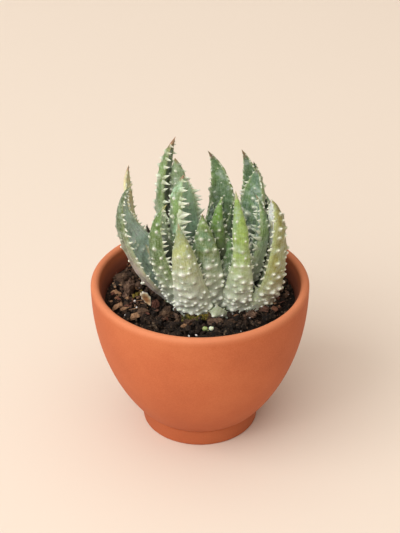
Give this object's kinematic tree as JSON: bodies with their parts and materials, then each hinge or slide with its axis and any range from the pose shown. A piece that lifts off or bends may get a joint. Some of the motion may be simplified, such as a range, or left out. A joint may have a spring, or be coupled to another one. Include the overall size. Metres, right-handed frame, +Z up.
{
  "type": "potted haworthia",
  "caption": "Small rosette succulent with incurved, toothed and tubercled leaves, standing in chunky soil in a footed terracotta bowl.",
  "frame": {"origin": "middle of the foot's underside, on the surface that the pot stands on", "axes": "+Z up along the pot's axis; +X to the right and -Y towards the viewer of the reference view"},
  "size_m": [0.1, 0.1, 0.1435],
  "materials": {
    "terracotta": "matte unglazed fired clay",
    "soil": "coarse damp peat and bark",
    "stem": "dull",
    "leaf_pale": "waxy satin",
    "leaf_mustard": "waxy satin",
    "leaf_green": "waxy satin",
    "leaf_blue": "waxy satin with a pale bloom",
    "leaf_dry": "dry and papery",
    "straw": "dry and papery",
    "sprout": "satin"
  },
  "bodies": {
    "root": {"pot": "terracotta", "soil": "soil", "stem": "stem", "leaf_front_left": "leaf_pale", "leaf_front_right": "leaf_pale", "leaf_right_outer": "leaf_mustard", "leaf_left_small": "leaf_green", "leaf_left_outer": "leaf_green", "leaf_stub_right": "leaf_pale", "leaf_stub_front": "leaf_pale", "leaf_front_middle": "leaf_green", "leaf_left_inner": "leaf_green", "leaf_right_inner": "leaf_green", "leaf_tall_left": "leaf_green", "leaf_right_back": "leaf_blue", "leaf_inner_bright": "leaf_green", "leaf_inner_shaded": "leaf_blue", "leaf_tall_middle": "leaf_blue", "leaf_tall_right": "leaf_blue", "leaf_left_back": "leaf_green", "leaf_dry_left": "leaf_dry", "leaf_back_right_tip": "leaf_blue", "leaf_back_right": "leaf_blue", "leaf_back_left": "leaf_blue", "leaf_back_middle": "leaf_blue", "leaf_dry_stub": "leaf_dry", "leaf_heart_left": "leaf_blue", "leaf_heart_right": "leaf_blue", "dry_flake": "straw", "sprout": "sprout"}
  },
  "joints": []
}
